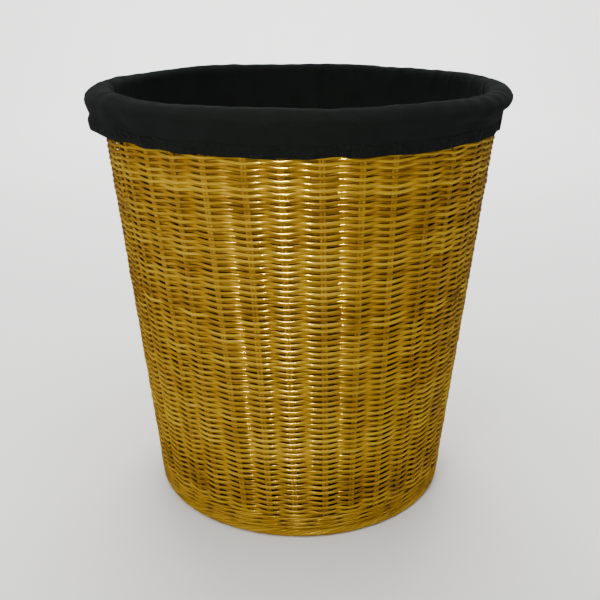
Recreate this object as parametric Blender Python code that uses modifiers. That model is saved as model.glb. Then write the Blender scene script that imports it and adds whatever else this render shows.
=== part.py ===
"""Round woven cane laundry basket with a lift-out cloth liner.

Metres, +Z up. The origin is on the floor at the middle of the foot, and the
basket's axis is Z. The wall is a slightly flared cone of plain weave on
36 pairs of upright stakes, whose feet run into a woven base on nine sticks.
"""

import math

import bmesh
import bpy
from mathutils import Matrix, Vector

# ---- Driving dimensions -------------------------------------------------------
OVERALL_HEIGHT = 0.500  # floor to the top of the cloth over the rim
FLOOR_RADIUS = 0.1848  # outer face of the wall, carried down to the floor
MOUTH_RADIUS = 0.2318  # outer face of the wall, carried up to OVERALL_HEIGHT

# ---- Canes --------------------------------------------------------------------
WEAVER = 0.0032  # diameter of a weaving cane
STAKE_ROD = 0.0032  # diameter of one upright; two stand side by side
STAKES = 36  # pairs of uprights round the wall
STICK = 0.0060  # diameter of a base stick
STICK_SPACE = 0.0010  # left between neighbouring sticks in the cross
STICKS_ACROSS = 5  # slit sticks, along X
STICKS_THROUGH = 4  # sticks along Y, shaved thin to pass through the slits
SHAVED = 0.0030  # thickness of a shaved stick
CROSS_MARGIN = 0.0030  # of a straight run past the cross, before a stick fans out
HUB_EASE = 0.0006  # between the ends of the straight runs and the base weave

# ---- Heights and lengths ------------------------------------------------------
FOOT_HEIGHT = 0.0122  # the foot border, which lifts the base off the floor
BASE_LEVEL = 0.0172  # height of the sticks' centre lines
UPSETT_DEPTH = 0.0164  # from the wall's outer face in to the base weave
STAKE_FOOT_LENGTH = 0.0550  # of a stake's foot within the base weave
STAKE_BEND = 0.0080  # centre-line radius where a stake turns up
UPSETT_TOP = 0.0300  # the three rows of wale that turn the base into the wall
WALE_HEIGHT = 0.0148  # the wale under the rim
BORDER_HEIGHT = 0.0190  # the rolled border on the rim
BORDER_WIDTH = 0.0250
BORDER_PROUD = 0.0107  # of the wall's outer face
BORDER_CHAMFER = 0.0050
STAKE_IN_BORDER = 0.0135  # how far a stake reaches up into the border
FOOT_CHAMFER = 0.0036
FOOT_RING_WIDTH = 0.0158

# ---- Liner --------------------------------------------------------------------
CLOTH = 0.0012
CUFF_DROP = 0.0454  # from the top of the cloth to the cuff's hem
HEM_DEPTH = 0.0120
ELASTIC_WIDTH = 0.0080
ELASTIC_THICKNESS = 0.0012
SPLIT_BELOW_MIDDLE = 0.0020  # bag and cuff meet this far below the border's middle

# ---- Clearances ---------------------------------------------------------------
GAP = 0.0003  # between touching pieces
LINER_EASE = 0.0008  # between the bag and the wall inside it
CUFF_EASE = 0.0005  # between the hem and the wall outside it

# ---- Drawing accuracy ---------------------------------------------------------
SIDES = 36  # flats of every turned piece: one to each pair of stakes
STICK_RESOLUTION = 1  # bevel_resolution of a stick, which gives it six sides
BEND_STEPS = 3  # straight lengths in a stake's bend

# ---- Worked out from the above ------------------------------------------------
FLARE = (MOUTH_RADIUS - FLOOR_RADIUS) / OVERALL_HEIGHT
HALF_WALL = STAKE_ROD / 2 + WEAVER
HALF_BASE = STICK / 2 + WEAVER
BASE_TOP = BASE_LEVEL + HALF_BASE
BORDER_TOP = OVERALL_HEIGHT - CLOTH - GAP
BORDER_BOTTOM = BORDER_TOP - BORDER_HEIGHT
BORDER_MIDDLE = (BORDER_TOP + BORDER_BOTTOM) / 2
WALE_TOP = BORDER_BOTTOM - GAP
WALE_BOTTOM = WALE_TOP - WALE_HEIGHT
SIDE_BOTTOM = UPSETT_TOP + GAP
SIDE_TOP = WALE_BOTTOM - GAP
STAKE_TOP = BORDER_BOTTOM + STAKE_IN_BORDER
BORDER_OUTER_RADIUS = FLOOR_RADIUS + FLARE * BORDER_MIDDLE + BORDER_PROUD
BORDER_INNER_RADIUS = BORDER_OUTER_RADIUS - BORDER_WIDTH
BASE_WEAVE_RADIUS = FLOOR_RADIUS + FLARE * BASE_LEVEL - UPSETT_DEPTH
STAKE_FOOT_RADIUS = BASE_WEAVE_RADIUS - STAKE_FOOT_LENGTH
STICK_PITCH = STICK + STICK_SPACE
ACROSS_WIDTH = STICKS_ACROSS * STICK_PITCH - STICK_SPACE
THROUGH_WIDTH = STICKS_THROUGH * STICK_PITCH - STICK_SPACE
HALF_CROSS = (ACROSS_WIDTH / 2 + CROSS_MARGIN, THROUGH_WIDTH / 2 + CROSS_MARGIN)
HUB_RADIUS = math.hypot(*HALF_CROSS) + HUB_EASE
HEM_BOTTOM = OVERALL_HEIGHT - CUFF_DROP
CASING = ELASTIC_THICKNESS + 2 * GAP  # the room for the elastic in the hem

# ---- Colours (linear RGB, roughness) ------------------------------------------
CANE_GOLD = ((0.50, 0.30, 0.055), 0.35)
CANE_PALE = ((0.58, 0.38, 0.10), 0.45)
CANE_BROWN = ((0.36, 0.19, 0.04), 0.45)
CLOTH_BLACK = ((0.010, 0.011, 0.012), 0.90)
ELASTIC_GREY = ((0.05, 0.05, 0.055), 0.80)


def outer(z):
    """Radius of the wall's outer face at height z."""
    return FLOOR_RADIUS + FLARE * z


def middle(z):
    """Radius of the stakes' centre lines at height z."""
    return outer(z) - HALF_WALL


def inner(z):
    """Radius of the wall's inner face at height z."""
    return middle(z) - HALF_WALL


def across_flats(radius):
    """Corner radius of a turned piece whose flats lie on this radius."""
    return radius / math.cos(math.pi / SIDES)


# ---- Building blocks ----------------------------------------------------------
def start_scene():
    """Empties the scene and returns the collections for parts and for cutters."""
    for obj in list(bpy.data.objects):
        bpy.data.objects.remove(obj)
    made = []
    for name in ("laundry_basket", "cutters"):
        collection = bpy.data.collections.new(name)
        bpy.context.scene.collection.children.link(collection)
        made.append(collection)
    return made


def material(name, finish):
    """A Principled material of one colour and roughness."""
    colour, roughness = finish
    made = bpy.data.materials.new(name)
    made.use_nodes = True
    shader = made.node_tree.nodes["Principled BSDF"]
    shader.inputs["Base Color"].default_value = (*colour, 1.0)
    shader.inputs["Roughness"].default_value = roughness
    made.diffuse_color = (*colour, 1.0)
    return made


def add_object(name, data, collection, finish=None):
    """A new object in a collection, with its material where it has one."""
    obj = bpy.data.objects.new(name, data)
    collection.objects.link(obj)
    if finish is not None and not data.materials:
        data.materials.append(finish)
    return obj


def as_cutter(obj):
    """Marks a helper that is never part of the object."""
    obj.hide_render = True
    obj.display_type = "WIRE"
    return obj


def turned(name, points, collection, finish, closed=True):
    """A piece turned round Z from (radius, height) points, running down its outer side."""
    mesh = bpy.data.meshes.new(name)
    corners = [(across_flats(r), 0.0, z) for r, z in points]
    edges = [(i, i + 1) for i in range(len(corners) - 1)]
    if closed:
        edges.append((len(corners) - 1, 0))
    mesh.from_pydata(corners, edges, [])
    obj = add_object(name, mesh, collection, finish)
    screw = obj.modifiers.new("turn", "SCREW")
    screw.steps = SIDES
    screw.render_steps = SIDES
    screw.use_merge_vertices = True
    screw.merge_threshold = 0.00002
    return obj


def thicken(obj, thickness):
    """Gives a turned sheet its thickness, on the side that its normals point to."""
    shell = obj.modifiers.new("cloth", "SOLIDIFY")
    shell.thickness = thickness
    shell.offset = 1.0
    shell.use_even_offset = True
    return obj


def path_curve(name, points, cyclic=False):
    """A POLY curve through points, flat in its own XY plane."""
    curve = bpy.data.curves.new(name, "CURVE")
    curve.dimensions = "2D"
    curve.fill_mode = "NONE"
    spline = curve.splines.new("POLY")
    spline.points.add(len(points) - 1)
    for point, place in zip(spline.points, points):
        point.co = (*place, 0.0, 1.0)
    spline.use_cyclic_u = cyclic
    return curve


def swept(name, points, profile, collection, finish=None):
    """The profile curve carried along a flat path, with closed ends."""
    curve = path_curve(name, points)
    curve.bevel_mode = "OBJECT"
    curve.bevel_object = profile
    curve.use_fill_caps = True
    return add_object(name, curve, collection, finish)


def to_mesh(obj):
    """Replaces a curve object by a mesh object of the same name, with welded caps."""
    bpy.context.view_layer.update()
    graph = bpy.context.evaluated_depsgraph_get()
    mesh = bpy.data.meshes.new_from_object(obj.evaluated_get(graph))
    shape = bmesh.new()
    shape.from_mesh(mesh)
    bmesh.ops.remove_doubles(shape, verts=shape.verts, dist=0.00001)
    bmesh.ops.recalc_face_normals(shape, faces=shape.faces)
    shape.to_mesh(mesh)
    shape.free()
    name, place, collection = obj.name, obj.matrix_world.copy(), obj.users_collection[0]
    bpy.data.objects.remove(obj)
    made = bpy.data.objects.new(name, mesh)
    collection.objects.link(made)
    made.matrix_world = place
    return made


def joined_cutter(name, meshes, places, cutters):
    """One cutter from several closed meshes, each at its own matrices."""
    shape = bmesh.new()
    for mesh, matrix in zip(meshes, places):
        copy = mesh.copy()
        copy.transform(matrix)
        shape.from_mesh(copy)
        bpy.data.meshes.remove(copy)
    joined = bpy.data.meshes.new(name)
    shape.to_mesh(joined)
    shape.free()
    return as_cutter(add_object(name, joined, cutters))


def box_cutter(name, size, centre, cutters):
    """A box to cut with."""
    shape = bmesh.new()
    place = Matrix.Translation(Vector(centre)) @ Matrix.Diagonal((*size, 1.0))
    bmesh.ops.create_cube(shape, size=1.0, matrix=place)
    mesh = bpy.data.meshes.new(name)
    shape.to_mesh(mesh)
    shape.free()
    return as_cutter(add_object(name, mesh, cutters))


def cut(obj, cutter):
    """Takes the cutter's shape out of an object."""
    boolean = obj.modifiers.new("cut_" + cutter.name, "BOOLEAN")
    boolean.operation = "DIFFERENCE"
    boolean.solver = "EXACT"
    boolean.object = cutter


# ---- Stakes -------------------------------------------------------------------
def stake_path(grow):
    """(radius, height) along a stake: its foot in the base, the bend and the wall.

    grow lengthens both ends, which makes the channel that the stake lies in.
    """
    slope = math.atan(FLARE)
    corner = Vector((middle(BASE_LEVEL), BASE_LEVEL))
    up = Vector((math.sin(slope), math.cos(slope)))
    turn = math.pi / 2 - slope
    reach = STAKE_BEND * math.tan(turn / 2)
    start = corner - Vector((reach, 0.0))
    centre = start + Vector((0.0, STAKE_BEND))
    points = [Vector((STAKE_FOOT_RADIUS - grow, BASE_LEVEL))]
    for step in range(BEND_STEPS + 1):
        angle = turn * step / BEND_STEPS
        points.append(centre + STAKE_BEND * Vector((math.sin(angle), -math.cos(angle))))
    points.append(corner + up * ((STAKE_TOP + grow - BASE_LEVEL) / up.y))
    return points


def stake_profile(name, width, depth, chamfer, cutters):
    """Outline of a pair of rods side by side: depth across the wall, width along it."""
    x, y = depth / 2, width / 2
    corners = [(x, y - chamfer), (x - chamfer, y), (chamfer - x, y), (-x, y - chamfer)]
    corners += [(-px, -py) for px, py in corners]
    if chamfer == 0.0:
        corners = [(x, y), (-x, y), (-x, -y), (x, -y)]
    return as_cutter(add_object(name, path_curve(name, corners, cyclic=True), cutters))


def stake_place(index):
    """Stands a stake's flat path up in its own plane, half a step from the X axis."""
    turn = Matrix.Rotation(2 * math.pi * (index + 0.5) / STAKES, 4, "Z")
    return turn @ Matrix.Rotation(math.pi / 2, 4, "X")


def build_stakes(parts, cutters, finish):
    """The pairs of uprights, and the cutter for the channels that they lie in."""
    profile = stake_profile("stake_outline", 2 * STAKE_ROD, STAKE_ROD, STAKE_ROD / 4, cutters)
    channel_outline = stake_profile(
        "channel_outline", 2 * STAKE_ROD + 2 * GAP, STAKE_ROD + 2 * GAP, 0.0, cutters
    )
    stake = to_mesh(swept("stake_master", stake_path(0.0), profile, cutters))
    channel = to_mesh(swept("channel_master", stake_path(GAP), channel_outline, cutters))
    stake.data.materials.append(finish)
    for index in range(STAKES):
        obj = add_object(f"stake_pair_{index + 1:02d}", stake.data, parts)
        obj.matrix_world = stake_place(index)
    places = [stake_place(index) for index in range(STAKES)]
    channels = joined_cutter("stake_channels", [channel.data] * STAKES, places, cutters)
    as_cutter(stake)
    as_cutter(channel)
    return channels


# ---- Base sticks --------------------------------------------------------------
def stick_path(offset, fan, half_cross, grow):
    """A stick in the XY plane: parallel to X in the cross, then fanned by +-fan."""
    reach = BASE_WEAVE_RADIUS + grow
    end = (reach * math.cos(fan), reach * math.sin(fan))
    return [(-end[0], end[1]), (-half_cross, offset), (half_cross, offset), end]


def stick_tube(name, points, radius, along_y, collection, finish=None):
    """A round stick at the base's level."""
    curve = path_curve(name, points)
    curve.dimensions = "3D"
    curve.fill_mode = "FULL"
    curve.bevel_depth = radius
    curve.bevel_resolution = STICK_RESOLUTION
    curve.use_fill_caps = True
    obj = add_object(name, curve, collection, finish)
    obj.location.z = BASE_LEVEL
    if along_y:
        obj.rotation_euler.z = math.pi / 2
    return to_mesh(obj)


def build_sticks(parts, cutters, finish):
    """Nine base sticks: four pass through slits in the other five and all fan out."""
    spokes = 2 * (STICKS_ACROSS + STICKS_THROUGH)
    step = 2 * math.pi / spokes
    slit = box_cutter(
        "slit",
        (THROUGH_WIDTH + 2 * GAP, ACROSS_WIDTH + STICK, SHAVED + 2 * GAP),
        (0.0, 0.0, BASE_LEVEL),
        cutters,
    )
    shavings = [
        box_cutter(
            f"shaving_{side}",
            (THROUGH_WIDTH + STICK, ACROSS_WIDTH + 2 * GAP, STICK),
            (0.0, 0.0, BASE_LEVEL + sign * (SHAVED + STICK) / 2),
            cutters,
        )
        for side, sign in (("above", 1), ("below", -1))
    ]
    grooves = []
    for group, count, half_cross in (
        ("across", STICKS_ACROSS, HALF_CROSS[1]),
        ("through", STICKS_THROUGH, HALF_CROSS[0]),
    ):
        for index in range(count):
            place = index - (count - 1) / 2
            name = f"base_stick_{group}_{index + 1}"
            path = stick_path(place * STICK_PITCH, place * step, half_cross, 0.0)
            stick = stick_tube(name, path, STICK / 2, group == "through", parts)
            stick.data.materials.append(finish)
            for cutter in [slit] if group == "across" else shavings:
                cut(stick, cutter)
            longer = stick_path(place * STICK_PITCH, place * step, half_cross, STICK)
            groove = stick_tube(
                f"groove_{group}_{index + 1}",
                longer,
                STICK / 2 + GAP,
                group == "through",
                cutters,
            )
            grooves.append(as_cutter(groove))
    bpy.context.view_layer.update()
    return joined_cutter(
        "stick_grooves",
        [groove.data for groove in grooves],
        [groove.matrix_world.copy() for groove in grooves],
        cutters,
    )


# ---- Woven pieces -------------------------------------------------------------
def build_weave(parts, channels, grooves, gold, pale):
    """The base, the wall and the borders, each with channels for what it is woven on."""
    base = turned(
        "base_weave",
        [
            (BASE_WEAVE_RADIUS, BASE_TOP),
            (BASE_WEAVE_RADIUS, BASE_LEVEL - HALF_BASE),
            (HUB_RADIUS, BASE_LEVEL - HALF_BASE),
            (HUB_RADIUS, BASE_TOP),
        ],
        parts,
        pale,
    )
    cut(base, grooves)
    cut(base, channels)

    upsett_bottom = FOOT_HEIGHT + GAP
    seat = BASE_WEAVE_RADIUS + GAP
    upsett = turned(
        "upsett_wale",
        [
            (outer(UPSETT_TOP), UPSETT_TOP),
            (outer(upsett_bottom), upsett_bottom),
            (seat, upsett_bottom),
            (seat, BASE_TOP),
            (inner(BASE_TOP), BASE_TOP),
            (inner(UPSETT_TOP), UPSETT_TOP),
        ],
        parts,
        gold,
    )
    cut(upsett, channels)

    for name, low, high in (
        ("side_weave", SIDE_BOTTOM, SIDE_TOP),
        ("top_wale", WALE_BOTTOM, WALE_TOP),
    ):
        band = turned(
            name,
            [(outer(high), high), (outer(low), low), (inner(low), low), (inner(high), high)],
            parts,
            gold,
        )
        cut(band, channels)

    border = turned(
        "top_border",
        chamfered(
            BORDER_INNER_RADIUS, BORDER_OUTER_RADIUS, BORDER_BOTTOM, BORDER_TOP, BORDER_CHAMFER
        ),
        parts,
        gold,
    )
    cut(border, channels)

    foot_outer = outer(0.0) + GAP
    turned(
        "foot_border",
        chamfered(foot_outer - FOOT_RING_WIDTH, foot_outer, 0.0, FOOT_HEIGHT, FOOT_CHAMFER),
        parts,
        gold,
    )


def chamfered(inside, outside, low, high, chamfer):
    """A rectangle with its corners taken off, as (radius, height) points."""
    return [
        (outside - chamfer, high),
        (outside, high - chamfer),
        (outside, low + chamfer),
        (outside - chamfer, low),
        (inside + chamfer, low),
        (inside, low + chamfer),
        (inside, high - chamfer),
        (inside + chamfer, high),
    ]


# ---- Liner --------------------------------------------------------------------
def build_liner(parts, cloth, elastic):
    """The cloth bag, which hangs over the rim, its cuff and the elastic in the hem."""
    bottom_low = BASE_TOP + GAP
    bottom_high = bottom_low + CLOTH
    bag_radius = inner(bottom_low) - LINER_EASE
    turned(
        "liner_bottom_panel",
        [(bag_radius, bottom_high), (bag_radius, bottom_low), (0.0, bottom_low), (0.0, bottom_high)],
        parts,
        cloth,
    )

    inside = BORDER_INNER_RADIUS - GAP
    outside = BORDER_OUTER_RADIUS + GAP
    top = BORDER_TOP + GAP
    split = BORDER_MIDDLE - SPLIT_BELOW_MIDDLE
    bag = turned(
        "liner_side_panel",
        [
            (bag_radius, bottom_high + GAP),
            (inside, BORDER_BOTTOM),
            (inside, BORDER_TOP - BORDER_CHAMFER + GAP / 2),
            (BORDER_INNER_RADIUS + BORDER_CHAMFER - GAP / 2, top),
            (BORDER_OUTER_RADIUS - BORDER_CHAMFER + GAP / 2, top),
            (outside, BORDER_TOP - BORDER_CHAMFER + GAP / 2),
            (outside, split),
        ],
        parts,
        cloth,
        closed=False,
    )
    thicken(bag, CLOTH)

    hem_inner = CUFF_EASE + CLOTH  # from the wall to the inner side of the casing
    hem_outer = hem_inner + CASING
    fold = HEM_BOTTOM + CLOTH
    cheek = BORDER_BOTTOM - BORDER_CHAMFER  # where the cuff comes back in below the roll
    cuff = turned(
        "liner_cuff",
        [
            (outside, split - GAP),
            (outside, BORDER_BOTTOM + BORDER_CHAMFER - GAP / 2),
            (outer(cheek) + hem_outer, cheek),
            (outer(fold) + hem_outer, fold),
            (outer(fold) + hem_inner, fold),
            (outer(fold + HEM_DEPTH) + hem_inner, fold + HEM_DEPTH),
        ],
        parts,
        cloth,
        closed=False,
    )
    thicken(cuff, CLOTH)

    low = fold + GAP
    high = low + ELASTIC_WIDTH
    near = hem_inner + GAP
    far = near + ELASTIC_THICKNESS
    turned(
        "cuff_elastic",
        [
            (outer(high) + far, high),
            (outer(low) + far, low),
            (outer(low) + near, low),
            (outer(high) + near, high),
        ],
        parts,
        elastic,
    )


def main():
    """Builds the basket and then the liner that hangs in it."""
    parts, cutters = start_scene()
    gold = material("lacquered_cane", CANE_GOLD)
    pale = material("pale_cane", CANE_PALE)
    brown = material("stick_cane", CANE_BROWN)
    channels = build_stakes(parts, cutters, pale)
    grooves = build_sticks(parts, cutters, brown)
    build_weave(parts, channels, grooves, gold, pale)
    build_liner(parts, material("black_cotton", CLOTH_BLACK), material("elastic", ELASTIC_GREY))


main()
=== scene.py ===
"""A woven cane laundry basket with a black cloth liner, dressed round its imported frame.

Every strand of cane is made as its own tube. The wall is a plain weave worked by two
weavers that chase each other round 36 pairs of stakes, the wales are three-rod wales and
the borders are rolled. The liner is one sheet of cloth with a round bottom sewn in.
"""

import logging
import math
from dataclasses import dataclass, field
from enum import Enum

import bpy
import numpy as np
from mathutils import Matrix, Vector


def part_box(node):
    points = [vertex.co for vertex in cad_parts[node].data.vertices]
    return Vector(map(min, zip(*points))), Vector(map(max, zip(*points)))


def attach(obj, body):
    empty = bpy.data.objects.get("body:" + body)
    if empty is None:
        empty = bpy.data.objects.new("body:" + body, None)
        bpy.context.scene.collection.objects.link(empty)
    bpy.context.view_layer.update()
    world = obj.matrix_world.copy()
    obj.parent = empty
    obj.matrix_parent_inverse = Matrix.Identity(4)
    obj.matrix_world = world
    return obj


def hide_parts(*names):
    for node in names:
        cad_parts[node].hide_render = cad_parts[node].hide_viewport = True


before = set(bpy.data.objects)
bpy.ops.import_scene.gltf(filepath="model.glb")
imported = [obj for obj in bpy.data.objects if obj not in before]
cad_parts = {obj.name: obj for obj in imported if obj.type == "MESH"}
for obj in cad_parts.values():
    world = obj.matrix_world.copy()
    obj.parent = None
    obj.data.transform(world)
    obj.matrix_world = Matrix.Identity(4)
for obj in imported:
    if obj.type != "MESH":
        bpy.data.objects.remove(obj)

LOG = logging.getLogger("laundry_basket")
MM = 0.001
TURN = 2.0 * math.pi
FLATS = math.cos(math.pi / 36)  # how far out a 36-sided solid's flats lie, as a share of its corners
UP = np.array([0.0, 0.0, 1.0])

Array = np.ndarray
Material = bpy.types.Material
Node = bpy.types.Node
Object = bpy.types.Object
Tree = bpy.types.NodeTree


# ---- Numbers and arrays --------------------------------------------------------
def linear(colour: str) -> tuple[float, float, float, float]:
    """Turns an sRGB hex colour into linear RGBA.

    Args:
        colour: the colour as "#RRGGBB".

    Returns:
        Red, green, blue and an alpha of 1, in linear light.
    """
    parts = [int(colour[i : i + 2], 16) / 255.0 for i in (1, 3, 5)]
    made = [c / 12.92 if c <= 0.04045 else ((c + 0.055) / 1.055) ** 2.4 for c in parts]
    return (made[0], made[1], made[2], 1.0)


def ease(values: Array) -> Array:
    """The smooth step 3x^2 - 2x^3 of values held between 0 and 1."""
    held = np.clip(values, 0.0, 1.0)
    return held * held * (3.0 - 2.0 * held)


def unit(vectors: Array) -> Array:
    """The vectors of the last axis, each divided by its own length."""
    return vectors / np.linalg.norm(vectors, axis=-1, keepdims=True)


def stepped(turns: Array, step: float = 0.06) -> Array:
    """Turns counted in whole numbers, with the step to the next one at the end of a turn.

    Args:
        turns: how many turns have been made.
        step: the share of a turn that the step takes.

    Returns:
        The floor of the turns, plus a smooth rise of 1 within each step.
    """
    whole = np.floor(turns)
    return whole + ease((turns - whole - (1.0 - step)) / step)


def rounded(corners: Array, count: int, passes: int) -> Array:
    """Places spaced evenly along a line through corners, with the corners smoothed.

    Args:
        corners: the corners, one a row.
        count: how many places.
        passes: how many times each place is averaged with its neighbours, which widens
            the rounding.

    Returns:
        The places, whose ends stay where they are.
    """
    run = arc_length(corners)
    even = np.linspace(0.0, run[-1], count)
    line = np.stack([np.interp(even, run, axis) for axis in corners.T], axis=-1)
    for _ in range(passes):
        line[1:-1] = (line[:-2] + 2.0 * line[1:-1] + line[2:]) / 4.0
    return line


def arc_length(points: Array) -> Array:
    """Distance run along a path at each of its points."""
    steps = np.linalg.norm(np.diff(points, axis=0), axis=1)
    return np.concatenate([[0.0], np.cumsum(steps)])


@dataclass(frozen=True)
class Ripple:
    """A smooth random field round the basket: a sum of sines of angle and row.

    Each wave is sin(count * angle + drift * row + start). Whole counts make the field
    meet itself after one turn. Its values stay mostly between -1 and 1.
    """

    counts: Array
    drifts: Array
    starts: Array

    @classmethod
    def draw(
        cls, rng: np.random.Generator, waves: int, low: int, high: int, drift: float
    ) -> "Ripple":
        """Draws the waves.

        Args:
            rng: the source of chance.
            waves: how many sines are added.
            low: fewest periods in one turn.
            high: most periods in one turn.
            drift: spread of the phase that a wave gains from one row to the next.

        Returns:
            The field.
        """
        return cls(
            rng.integers(low, high + 1, waves).astype(float),
            rng.normal(0.0, drift, waves),
            rng.uniform(0.0, TURN, waves),
        )

    def at(self, angle: Array, row: Array) -> Array:
        """The field's value.

        Args:
            angle: angles about Z.
            row: rows, counted along whatever the field varies over.

        Returns:
            The value at each angle and row.
        """
        total = np.zeros(np.broadcast(angle, row).shape)
        for count, drift, start in zip(self.counts, self.drifts, self.starts):
            total += np.sin(count * angle + drift * row + start)
        return total / math.sqrt(len(self.counts))


# ---- Surfaces ------------------------------------------------------------------
@dataclass
class Surface:
    """Faces as plain arrays, with a texture place for each corner and a tone for each point."""

    points: Array
    corners: Array
    sizes: Array
    places: Array
    tones: Array

    @staticmethod
    def join(parts: list["Surface"]) -> "Surface":
        """Makes one surface from several, which stay apart in it.

        Args:
            parts: the surfaces.

        Returns:
            The surface.
        """
        starts = np.cumsum([0] + [len(part.points) for part in parts[:-1]])
        return Surface(
            np.concatenate([part.points for part in parts]),
            np.concatenate([part.corners + start for part, start in zip(parts, starts)]),
            np.concatenate([part.sizes for part in parts]),
            np.concatenate([part.places for part in parts]),
            np.concatenate([part.tones for part in parts]),
        )

    def fill(self, columns: int) -> "Surface":
        """Closes the first row of a wrapped grid with one flat face.

        Args:
            columns: places in the row.

        Returns:
            The surface with that face.
        """
        return Surface(
            self.points,
            np.concatenate([self.corners, np.arange(columns)[::-1]]),
            np.append(self.sizes, columns),
            np.concatenate([self.places, np.zeros((columns, 2))]),
            self.tones,
        )

    def to_object(self, name: str, finish: Material) -> Object:
        """Makes a mesh object.

        Args:
            name: the object's name.
            finish: its material.

        Returns:
            The object, shaded smooth, with a UV map "places" and an attribute "tone".
        """
        mesh = bpy.data.meshes.new(name)
        mesh.vertices.add(len(self.points))
        mesh.vertices.foreach_set("co", self.points.astype(np.float32).ravel())
        mesh.loops.add(len(self.corners))
        mesh.loops.foreach_set("vertex_index", self.corners.astype(np.int32))
        mesh.polygons.add(len(self.sizes))
        first = np.concatenate([[0], np.cumsum(self.sizes)[:-1]])
        mesh.polygons.foreach_set("loop_start", first.astype(np.int32))
        mesh.update(calc_edges=True)
        layer = mesh.uv_layers.new(name="places", do_init=False)
        layer.uv.foreach_set("vector", self.places.astype(np.float32).ravel())
        tone = mesh.attributes.new("tone", "FLOAT", "POINT")
        tone.data.foreach_set("value", self.tones.astype(np.float32))
        mesh.shade_smooth()
        mesh.materials.append(finish)
        made = bpy.data.objects.new(name, mesh)
        bpy.context.scene.collection.objects.link(made)
        return made


def grid(points: Array, along: Array, around: Array, tones: Array, wrap: bool) -> Surface:
    """Faces over a grid of points.

    The faces look along (step in the second index) x (step in the first index).

    Args:
        points: places, indexed by row, column and axis.
        along: texture place of each row.
        around: texture place of each column, with one more at the end if wrap is set.
        tones: tone of each row.
        wrap: whether the last column meets the first.

    Returns:
        The surface.
    """
    rows, columns = points.shape[:2]
    across = columns if wrap else columns - 1
    i, j = np.meshgrid(np.arange(rows - 1), np.arange(across), indexing="ij")
    nearer, further = i * columns + j, i * columns + (j + 1) % columns
    corners = np.stack([nearer, further, further + columns, nearer + columns], axis=-1)
    u = np.stack([along[i], along[i], along[i + 1], along[i + 1]], axis=-1)
    v = np.stack([around[j], around[j + 1], around[j + 1], around[j]], axis=-1)
    return Surface(
        points.reshape(-1, 3),
        corners.ravel(),
        np.full(corners.shape[0] * corners.shape[1], 4),
        np.stack([u.ravel(), v.ravel()], axis=-1),
        np.repeat(tones, columns),
    )


def capped(skin: Surface, sides: int, length: float) -> Surface:
    """Closes both ends of a strand's skin with flat caps.

    Args:
        skin: the open skin, a wrapped grid.
        sides: places round the strand.
        length: the strand's length, where the texture of its far cap lies.

    Returns:
        The closed surface.
    """
    last = len(skin.points) - sides
    ends = np.concatenate([np.arange(sides)[::-1], last + np.arange(sides)])
    places = np.stack([np.repeat([0.0, length], sides), np.full(2 * sides, 0.5)], axis=-1)
    return Surface(
        skin.points,
        np.concatenate([skin.corners, ends]),
        np.concatenate([skin.sizes, [sides, sides]]),
        np.concatenate([skin.places, places]),
        skin.tones,
    )


def closed(points: Array, along: Array, around: Array, tones: Array) -> Surface:
    """A skin whose last row meets its first, made as an open one and joined up.

    Args:
        points: places, indexed by row, column and axis.
        along: texture place of each row, with one more at the end.
        around: texture place of each column, with one more at the end.
        tones: tone of each row.

    Returns:
        The surface.
    """
    count = points.shape[0] * points.shape[1]
    loop = np.concatenate([points, points[:1]])
    skin = grid(loop, along, around, np.append(tones, tones[0]), wrap=True)
    return Surface(
        skin.points[:count], skin.corners % count, skin.sizes, skin.places, skin.tones[:count]
    )


def tube(
    path: Array, outward: Array, radius: Array, sides: int, tones: Array, depth: float = 1.0
) -> Surface:
    """A round or oval strand along an open path, with flat closed ends.

    A point of the skin is centre + radius * (depth * cos(a) * out + sin(a) * side), where
    out is the outward direction made square to the path and side is path x out.

    Args:
        path: centre line, one place a row.
        outward: a direction at each place that the path never runs along.
        radius: half the strand's width at each place.
        sides: flats round the strand.
        tones: tone at each place.
        depth: the strand's thickness outwards as a share of its width.

    Returns:
        The closed surface, with its texture in metres along and turns around.
    """
    forward = unit(np.gradient(path, axis=0))
    side = unit(np.cross(forward, outward))
    out = np.cross(side, forward)
    angle = TURN * np.arange(sides) / sides
    ring = depth * np.cos(angle)[None, :, None] * out[:, None]
    ring = ring + np.sin(angle)[None, :, None] * side[:, None]
    points = path[:, None] + radius[:, None, None] * ring
    length = arc_length(path)
    skin = grid(points, length, np.arange(sides + 1) / sides, tones, wrap=True)
    return capped(skin, sides, length[-1])


def hoop(path: Array, outward: Array, radius: float, sides: int, tones: Array) -> Surface:
    """A round strand along a closed path, whose last place meets its first.

    Args:
        path: centre line, one place a row, without a repeat of the first.
        outward: a direction at each place that the path never runs along.
        radius: the strand's radius.
        sides: flats round the strand.
        tones: tone at each place.

    Returns:
        The closed surface.
    """
    forward = unit(np.roll(path, -1, axis=0) - np.roll(path, 1, axis=0))
    side = unit(np.cross(forward, outward))
    out = np.cross(side, forward)
    angle = TURN * np.arange(sides) / sides
    ring = np.cos(angle)[None, :, None] * out[:, None] + np.sin(angle)[None, :, None] * side[:, None]
    length = arc_length(np.concatenate([path, path[:1]]))
    return closed(path[:, None] + radius * ring, length, np.arange(sides + 1) / sides, tones)


def polar(radius: Array, angle: Array, height: Array) -> Array:
    """Places at a radius and angle about Z and a height."""
    return np.stack([radius * np.cos(angle), radius * np.sin(angle), height], axis=-1)


def radial(angle: Array) -> Array:
    """The outward direction at each angle about Z."""
    return np.stack([np.cos(angle), np.sin(angle), np.zeros_like(angle)], axis=-1)


# ---- Materials -----------------------------------------------------------------
WAVE = 0.157  # a wave texture's scale times its bands' spacing


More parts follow.
